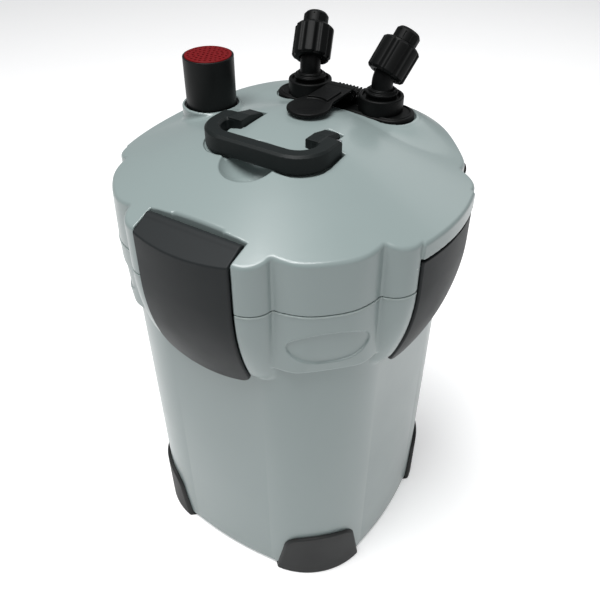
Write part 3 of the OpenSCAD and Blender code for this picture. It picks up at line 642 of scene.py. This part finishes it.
def gland_field(x, y, z):
    """Cord gland along Z, from the head's corner outwards."""
    r = length(x, y)
    pitch = math.pi / 3
    turn = np.arctan2(y, x)
    hexagon = r * np.cos(turn - pitch * np.round(turn / pitch)) - 6.9
    nut = both(both(hexagon, r - 8.0, 0.5), slab(z, 139.2, 143.2), 0.5)
    stub = both(r - 5.0, slab(z, 131.0, 145.0), 0.9)
    inner = both(r - 6.5, slab(z, 129.0, 132.0), 0.3)
    return cut(join(join(stub, nut, 0.4), inner), r - 2.8, 0.4)


# ---------------------------------------------------------------- materials
def plastic(name, colour, rough, grain, bump, spread=0.04, coat=0.0, shine=0.5):
    """Moulded plastic: fine surface grain, soft tone drift, polished or dusty patches in the gloss."""
    mat = bpy.data.materials.new(name)
    mat.use_nodes = True
    n, l = mat.node_tree.nodes, mat.node_tree.links
    shader = n["Principled BSDF"]
    shader.inputs["IOR"].default_value = 1.5
    shader.inputs["Specular IOR Level"].default_value = shine
    shader.inputs["Coat Weight"].default_value = coat
    shader.inputs["Coat Roughness"].default_value = 0.12
    where = n.new("ShaderNodeTexCoord")
    drift = n.new("ShaderNodeTexNoise")
    drift.inputs["Scale"].default_value = 9.0
    drift.inputs["Detail"].default_value = 3.0
    l.new(where.outputs["Object"], drift.inputs["Vector"])
    tint = n.new("ShaderNodeMix")
    tint.data_type = "RGBA"
    low = [c * (1 - spread) for c in colour]
    high = [min(c * (1 + spread), 1.0) for c in colour]
    tint.inputs["A"].default_value = (*low, 1)
    tint.inputs["B"].default_value = (*high, 1)
    l.new(drift.outputs["Fac"], tint.inputs["Factor"])
    l.new(tint.outputs["Result"], shader.inputs["Base Color"])
    patch = n.new("ShaderNodeTexNoise")
    patch.inputs["Scale"].default_value = 30.0
    patch.inputs["Detail"].default_value = 4.0
    l.new(where.outputs["Object"], patch.inputs["Vector"])
    gloss = n.new("ShaderNodeMapRange")
    gloss.inputs["To Min"].default_value = rough * 0.85
    gloss.inputs["To Max"].default_value = rough * 1.2
    l.new(patch.outputs["Fac"], gloss.inputs["Value"])
    l.new(gloss.outputs["Result"], shader.inputs["Roughness"])
    fine = n.new("ShaderNodeTexNoise")
    fine.inputs["Scale"].default_value = grain
    fine.inputs["Detail"].default_value = 2.0
    l.new(where.outputs["Object"], fine.inputs["Vector"])
    relief = n.new("ShaderNodeBump")
    relief.inputs["Strength"].default_value = bump
    relief.inputs["Distance"].default_value = 0.00015
    l.new(fine.outputs["Fac"], relief.inputs["Height"])
    l.new(relief.outputs["Normal"], shader.inputs["Normal"])
    return mat


def metal(name, colour, rough):
    mat = plastic(name, colour, rough, 1400.0, 0.15)
    mat.node_tree.nodes["Principled BSDF"].inputs["Metallic"].default_value = 1.0
    return mat


def linear(r, g, b):
    """sRGB from 0 to 255 as linear values."""
    return [c / 12.92 if c <= 0.04045 else ((c + 0.055) / 1.055) ** 2.4 for c in (r / 255, g / 255, b / 255)]


def foam(name, colour, pore, depth, fuzz):
    """Open foam or felt: a cell pattern that darkens and dents the surface."""
    mat = plastic(name, colour, 0.95, fuzz, 0.6, 0.12)
    n, l = mat.node_tree.nodes, mat.node_tree.links
    shader = n["Principled BSDF"]
    where = n.new("ShaderNodeTexCoord")
    cells = n.new("ShaderNodeTexVoronoi")
    cells.inputs["Scale"].default_value = pore
    l.new(where.outputs["Object"], cells.inputs["Vector"])
    shade = n.new("ShaderNodeMapRange")
    shade.inputs["From Max"].default_value = 0.55
    shade.inputs["To Min"].default_value = 0.45
    l.new(cells.outputs["Distance"], shade.inputs["Value"])
    mix = n.new("ShaderNodeMix")
    mix.data_type = "RGBA"
    mix.blend_type = "MULTIPLY"
    mix.inputs["Factor"].default_value = 1.0
    l.new(shader.inputs["Base Color"].links[0].from_socket, mix.inputs["A"])
    l.new(shade.outputs["Result"], mix.inputs["B"])
    l.new(mix.outputs["Result"], shader.inputs["Base Color"])
    dent = n.new("ShaderNodeBump")
    dent.inputs["Strength"].default_value = 0.9
    dent.inputs["Distance"].default_value = depth
    l.new(cells.outputs["Distance"], dent.inputs["Height"])
    l.new(dent.outputs["Normal"], shader.inputs["Normal"])
    return mat


shell_mat = plastic("shell_plastic", linear(125, 137, 136), 0.3, 420.0, 0.08, 0.02, coat=0.15)
# painted highlight: the seam bead's plastic is lighter than the shell's, to paint the light line along the seam
seam_highlight_mat = plastic("seam_highlight_plastic", linear(138, 149, 147), 0.3, 420.0, 0.08, 0.02)
dark_mat = plastic("dark_plastic", linear(31, 34, 35), 0.5, 1500.0, 0.45, 0.06, shine=0.16)
foot_mat = plastic("foot_plastic", linear(39, 40, 40), 0.55, 1500.0, 0.5, 0.06, shine=0.2)
handle_mat = plastic("handle_plastic", linear(18, 23, 23), 0.46, 1300.0, 0.35, 0.06, shine=0.2)
black_mat = plastic("black_plastic", linear(7, 8, 8), 0.45, 1300.0, 0.3, 0.08, shine=0.12)
plunger_mat = plastic("plunger_plastic", linear(11, 13, 13), 0.42, 1300.0, 0.3, 0.06, shine=0.2)
cap_mat = plastic("cap_red_plastic", linear(98, 6, 11), 0.5, 1000.0, 0.2, 0.08, shine=0.12)
inner_mat = plastic("inner_plastic", linear(40, 43, 45), 0.5, 1100.0, 0.4, 0.06, shine=0.3)
resin_mat = plastic("potting_resin", linear(28, 29, 31), 0.3, 260.0, 0.25, 0.1)
white_mat = plastic("white_plastic", linear(208, 208, 202), 0.4, 700.0, 0.15, 0.03)
ceramic_mat = plastic("bearing_ceramic", linear(202, 198, 188), 0.3, 900.0, 0.1, 0.03)
steel_mat = metal("pin_steel", (0.6, 0.6, 0.62), 0.3)
rubber_mat = plastic("seal_rubber", linear(22, 22, 23), 0.7, 900.0, 0.5, 0.1, shine=0.2)
sponge_mat = foam("sponge_foam", linear(52, 92, 138), 420.0, 0.0012, 2600.0)
wool_mat = foam("wool_felt", linear(216, 214, 206), 900.0, 0.0006, 3800.0)
ring_mat = foam("ring_ceramic", linear(206, 192, 168), 700.0, 0.0003, 1500.0)


# ---------------------------------------------------------------- turned parts
def rounded_path(corners):
    """Points of a closed outline whose corners (r, z, fillet) are rounded."""
    points = []
    n = len(corners)
    for i, (r, z, fillet) in enumerate(corners):
        here = Vector((r, z))
        before = Vector(corners[i - 1][:2]) - here
        after = Vector(corners[(i + 1) % n][:2]) - here
        if not fillet:
            points.append(here)
            continue
        half = before.angle(after) / 2
        reach = min(fillet / math.tan(half), before.length * 0.49, after.length * 0.49)
        start, end = here + before.normalized() * reach, here + after.normalized() * reach
        steps = 5
        for k in range(steps + 1):
            t = k / steps
            points.append((1 - t) ** 2 * start + 2 * t * (1 - t) * here + t * t * end)
    return points


def lathe(name, corners, segments=96):
    """Closed ring or solid turned about Z from an outline in (r, z)."""
    path = rounded_path(corners)
    n = len(path)
    verts = [(p.x * math.cos(a), p.x * math.sin(a), p.y)
             for a in (2 * math.pi * k / segments for k in range(segments)) for p in path]
    faces = []
    for k in range(segments):
        m = (k + 1) % segments
        for i in range(n):
            j = (i + 1) % n
            faces.append((k * n + i, m * n + i, m * n + j, k * n + j))
    obj = new_object(name, verts, faces)
    obj.data.shade_smooth()
    obj.data.set_sharp_from_angle(angle=math.radians(40))
    return obj


# ---------------------------------------------------------------- pieces
STEP = 1.1
FINE = 0.55


def grid(low, high, step=None):
    """Grid lines round a box, a little outside it."""
    step = step or FINE
    return [spaced(a - 1.7 * step, b + 1.7 * step, step) for a, b in zip(low, high)]


def frame_at(x, y, z=0.0, turn=0.0, lean=0.0):
    return (Matrix.Translation(Vector((x, y, z)) * MM) @ Matrix.Rotation(turn, 4, "Z")
            @ Matrix.Rotation(lean, 4, "Y"))


def copy_of(obj, name):
    twin = bpy.data.objects.new(name, obj.data)
    bpy.context.scene.collection.objects.link(twin)
    return twin


def dress(obj, mat, body, slot, *replaced):
    obj.data.materials.clear()
    obj.data.materials.append(mat)
    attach(obj, body)
    if replaced:
        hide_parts(*replaced)
    return obj


def coil(name, radius, wire, low, high, turns):
    """A compression spring with a closed turn at each end, its wire swept round a helix."""
    per_turn, sides = 36, 10
    verts, faces = [], []
    count = turns * per_turn
    closed = 2.1 * wire
    for i in range(count + 1):
        turn = i / per_turn
        z = float(np.interp(turn, [0, 1, turns - 1, turns],
                            [low + wire, low + wire + closed, high - wire - closed, high - wire]))
        a = 2 * math.pi * turn
        for k in range(sides):
            b = 2 * math.pi * k / sides
            r = radius + wire * math.cos(b)
            verts.append((r * math.cos(a), r * math.sin(a), z + wire * math.sin(b)))
    for i in range(count):
        for k in range(sides):
            near, far, side = i * sides, (i + 1) * sides, (k + 1) % sides
            faces.append((near + k, far + k, far + side, near + side))
    last = count * sides
    for k in range(1, sides - 2, 2):
        faces.append((0, k, k + 1, k + 2))
        faces.append((last, last + k + 2, last + k + 1, last + k))
    obj = new_object(name, verts, faces)
    obj.data.shade_smooth()
    return obj


def make_shells():
    lines = spaced(-142, 142, STEP)
    head = carve("head_shell", head_field, lines, lines, spaced(320.8, 401, STEP), keep=0.35)
    dress(head, shell_mat, "head", "shell", "head_cover")
    levels = np.concatenate([spaced(0.5, 14.5, 1.4)[:-1], spaced(14.5, 236, 6.0)[:-1],
                             spaced(236, 323.8, STEP)])
    bucket = carve("bucket_shell", bucket_field, lines, lines, levels, keep=0.35)
    dress(bucket, shell_mat, "canister", "shell", "canister_bucket")
    rim = spaced(-142, 142, 0.9)
    # the seam bead carries the lighter plastic, a painted highlight along the seam
    bead = carve("seam_highlight_bead", bead_field, rim, rim, spaced(319.8, 322.6, 0.35), keep=0.4)
    dress(bead, seam_highlight_mat, "canister", "shell")


def make_pads():
    xs, ys, zs = grid((35, -118, 0), (118, -35, 58), 0.9)
    first = carve("foot_pad", pad_field, xs, ys, zs, keep=0.5)
    corners = ("front_right", "back_right", "back_left", "front_left")
    for k, corner in enumerate(corners):
        pad = first if k == 0 else copy_of(first, "foot_pad")
        pad.name = "pad_" + corner
        pad.matrix_world = Matrix.Rotation(k * math.pi / 2, 4, "Z")
        dress(pad, foot_mat, "canister", "foot", "foot_pad_" + corner)


def make_clips():
    xs, ys, zs = grid((-41, -141, 238), (41, -111, 371), 0.85)
    facet = carve("clip_facet", facet_field, xs, ys, zs, keep=0.4)
    flush = carve("clip_flush", flush_field, xs, ys, zs, keep=0.4)
    for k, (side, model) in enumerate((("front", facet), ("right", flush), ("back", facet), ("left", flush))):
        plate = model if k < 2 else copy_of(model, "clip")
        plate.name = "plate_" + side
        plate.matrix_world = Matrix.Rotation(k * math.pi / 2, 4, "Z")
        dress(plate, dark_mat, "clip_" + side, "clip_grey", "clip_plate_" + side)


def make_handle():
    handle = carve("handle_bar", handle_field, *grid((-52, -54, 386), (52, 7, 402), 0.75), keep=0.5)
    dress(handle, handle_mat, "handle", "handle_grey", "carry_handle")


def make_primer():
    r, top = PRIMER_R, PRIMER_TOP
    bore, foot, seat = r - PRIMER_WALL, PRIMER_FOOT, top - 1.45
    skirt = lathe("primer_sleeve", [(bore, foot, 0.3), (r, foot, 0.6), (r, top, 1.3), (r - 1.4, top, 0.5),
                                    (r - 1.4, seat, 0), (0.01, seat, 0), (0.01, top - 3, 0), (bore, top - 3, 0.5)],
                  128)
    skirt.matrix_world = frame_at(*PRIMER)
    dress(skirt, plunger_mat, "primer", "black_plastic", "primer_plunger")
    cap = carve("primer_disc", cap_field, *grid((-r, -r, top - 2), (r, r, top + 1), 0.42), keep=0.6)
    cap.matrix_world = frame_at(*PRIMER)
    dress(cap, cap_mat, "primer", "red_plastic", "primer_cap")
    spring = coil("return_spring", 10.9, 1.0, *SPRING_Z, 11)
    spring.matrix_world = frame_at(*PRIMER)
    spring.data.materials.append(steel_mat)
    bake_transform(spring)
    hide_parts("primer_spring")


def make_valves():
    here = frame_at(0, VALVE_Y)
    plate = carve("valve_deck", plate_field, *grid((-62, -18.5, 383), (62, 18.5, 397)), keep=0.5)
    plate.matrix_world = here
    dress(plate, black_mat, "valve_block", "black_plastic", "valve_plate")
    lever = carve("lever_paddle", lever_field, *grid((-17, -72, 387), (17, 5, 405)), keep=0.5)
    lever.matrix_world = here
    dress(lever, black_mat, "lever", "black_plastic", "valve_lever")
    for side, (sign, turn) in OUTLETS.items():
        x = sign * VALVE_X
        low = PLATE_Z + 0.1
        high = low + COLLAR_Z - PLATE_Z
        collar = lathe("collar_" + side, [(12.1, low, 0), (18, low, 0.4), (18, high, 2.0), (15.2, high, 0.8),
                                          (14.8, high - 2.5, 0.6), (12.1, high - 2.5, 0.3)])
        collar.matrix_world = frame_at(x, VALVE_Y)
        dress(collar, black_mat, "valve_block", "black_plastic", "lock_collar_" + side)
        elbow = carve("elbow_pipe_" + side, elbow_field, *grid((-13, -13, 401), (22, 13, 434)), keep=0.5)
        elbow.matrix_world = frame_at(x, VALVE_Y, 0, turn)
        dress(elbow, black_mat, "tap_" + side, "black_plastic", "elbow_" + side)
        out = frame_at(x, VALVE_Y, BEND_Z, turn, TILT)
        nut = carve("nut_" + side, nut_field, *grid((-16, -16, 2), (16, 16, 29)), keep=0.5)
        nut.matrix_world = out
        dress(nut, black_mat, "nut_" + side, "black_plastic", "hose_nut_" + side)
        tail = carve("tail_" + side, tail_field, *grid((-12, -12, 20), (12, 12, 40)), keep=0.6)
        tail.matrix_world = out
        dress(tail, black_mat, "tap_" + side, "black_plastic", "hose_tail_" + side)


def make_gland():
    gland = carve("gland_stub", gland_field, *grid((-8, -8, 128.5), (8, 8, 145)), keep=0.6)
    gland.matrix_world = (Matrix.Rotation(-math.pi / 4, 4, "Z") @ Matrix.Translation((0, 0, 345 * MM))
                          @ Matrix.Rotation(-math.pi / 2, 4, "X"))
    dress(gland, black_mat, "head", "black_plastic", "cord_gland")


def media_form(x, y, inset):
    """Plan of a media block: a rounded square with a slot for the down pipe."""
    outline = both(wall_form(x, y, 101.0 - inset + 0 * x), np.abs(x) - 140.0)
    px, py = x + VALVE_X, y - VALVE_Y
    pipe = np.minimum(length(px, py) - 14.5 - inset, box2(px, py - 20.0, 14.5 + inset, 20.0))
    return cut(outline, pipe, 2.0)


def media_field(low, high, edge, swell):
    def field(x, y, z):
        plan = media_form(x, y, 3.2 + swell)
        top = z - high + swell * (1 + np.sin(x / 13.0 + 1.0) * np.sin(y / 11.0 + 0.4))
        return both(both(plan, top, edge), low - z, edge * 0.6)
    return field


def make_media():
    blocks = (("sponge_pad", 165.0, 225.0, 2.2, 0.35, sponge_mat, "sponge", "filter_sponge_block", 0.9),
              ("wool_pad", 89.0, 153.0, 6.0, 1.2, wool_mat, "wool", "filter_wool_block", 0.7))
    for name, low, high, edge, swell, mat, slot, node, fill in blocks:
        pad = carve(name, media_field(low, high, edge, swell), *grid((-98, -98, low), (98, 98, high), 2.2), keep=0.5)
        dress(pad, mat, "canister", slot, node)


def make_rings():
    """Loose hollow rings that fill the lowest basket, each turned its own way."""
    rng = random.Random(7)
    profile = [(3.6, -7.2), (6.3, -7.2), (6.8, -6.7), (6.8, 6.7), (6.3, 7.2), (3.6, 7.2)]
    sides, verts, faces = 14, [], []
    for layer in range(4):
        z = 22.2 + 14.4 * layer
        shift = 8.0 * (layer % 2)
        for i in range(-6, 7):
            for j in range(-6, 7):
                x, y = i * 16.2 + shift, j * 16.2 + shift
                if float(media_form(np.float64(x), np.float64(y), 3.2)) > -8.6:
                    continue
                turn = (Matrix.Translation((x, y, z)) @ Matrix.Rotation(rng.uniform(0, math.pi), 4, "Z")
                        @ Matrix.Rotation(math.pi / 2 + rng.uniform(-0.12, 0.12), 4, "Y"))
                first, n = len(verts), len(profile)
                for k in range(sides):
                    a = 2 * math.pi * k / sides
                    verts += [tuple(turn @ Vector((r * math.cos(a), r * math.sin(a), h))) for r, h in profile]
                faces += [(first + k * n + m, first + (k + 1) % sides * n + m,
                           first + (k + 1) % sides * n + (m + 1) % n, first + k * n + (m + 1) % n)
                          for k in range(sides) for m in range(n)]
    rings = new_object("ceramic_rings", verts, faces)
    rings.data.shade_smooth()
    rings.data.set_sharp_from_angle(angle=math.radians(35))
    dress(rings, ring_mat, "canister", "ceramic_media", "filter_rings_block")


make_shells()
make_pads()
make_clips()
make_handle()
make_primer()
make_valves()
make_gland()
make_media()
make_rings()


# ---------------------------------------------------------------- stage, light, camera
def soft_box(name, where, target, size, watts):
    lamp = bpy.data.lights.new(name, "AREA")
    lamp.shape = "RECTANGLE"
    lamp.size, lamp.size_y = size
    lamp.energy = watts
    obj = bpy.data.objects.new(name, lamp)
    obj.location = where
    obj.rotation_euler = (Vector(target) - Vector(where)).to_track_quat("-Z", "Y").to_euler()
    bpy.context.scene.collection.objects.link(obj)
    return obj


def make_stage():
    half = 6.0
    floor = new_object("floor", np.array([[-half, -half, 0], [half, -half, 0], [half, half, 0], [-half, half, 0]])
                       / MM, [[0, 1, 2, 3]])
    mat = plastic("floor_white", (0.9, 0.9, 0.9), 0.7, 300.0, 0.05, 0.01, shine=0.1)
    shader = mat.node_tree.nodes["Principled BSDF"]
    shader.inputs["Emission Color"].default_value = (1, 1, 1, 1)
    shader.inputs["Emission Strength"].default_value = 0.3
    floor.data.materials.append(mat)
    world = bpy.data.worlds.new("studio")
    world.use_nodes = True
    world.node_tree.nodes["Background"].inputs["Color"].default_value = (0.95, 0.97, 1.0, 1)
    world.node_tree.nodes["Background"].inputs["Strength"].default_value = 0.24
    bpy.context.scene.world = world


def make_camera():
    az, el, roll = math.radians(33.95), math.radians(39.91), math.radians(-0.6)
    target = Vector((0, 0, 0.1972))
    back = Vector((math.sin(az) * math.cos(el), -math.cos(az) * math.cos(el), math.sin(el)))
    data = bpy.data.cameras.new("camera")
    data.sensor_width = 36.0
    data.lens = 43.29
    data.shift_x, data.shift_y = 0.0123, 0.0495
    cam = bpy.data.objects.new("camera", data)
    cam.rotation_mode = "QUATERNION"
    cam.location = target + back * 0.666
    turn = (-back).to_track_quat("-Z", "Y")
    cam.rotation_quaternion = turn @ Matrix.Rotation(roll, 3, "Z").to_quaternion()
    bpy.context.scene.collection.objects.link(cam)
    bpy.context.scene.camera = cam


make_stage()
make_camera()
soft_box("key", (-0.12, -0.4, 2.0), (0, 0, 0.3), (1.1, 1.1), 46)
soft_box("fill", (1.4, -0.6, 0.9), (0, 0, 0.2), (1.0, 1.4), 1.8)
soft_box("back", (0.2, 1.5, 1.3), (0, 0, 0.3), (1.6, 0.8), 4)
bpy.context.scene.view_settings.view_transform = "Standard"

# CAD parts that show as they are take a finish chosen by the start of their node name
INNER = {"intake": inner_mat, "media_basket": inner_mat, "head_base": inner_mat, "impeller_cover": inner_mat,
         "seal": rubber_mat, "valve_seals": rubber_mat, "motor": resin_mat, "rotor_magnet": resin_mat,
         "rotor_shaft": ceramic_mat, "shaft_bushes": ceramic_mat, "impeller_wheel": cap_mat,
         "primer_cylinder": resin_mat, "primer_spring": steel_mat, "handle_pins": steel_mat,
         "clip_pins": steel_mat, "head_screws": steel_mat, "valve_shaft": steel_mat, "valve_ball": white_mat,
         "valve_body": black_mat, "clip_hook": black_mat}
for name, obj in nodes.items():
    if not obj.hide_render:
        obj.data.materials.clear()
        obj.data.materials.append(next(mat for start, mat in INNER.items() if name.startswith(start)))
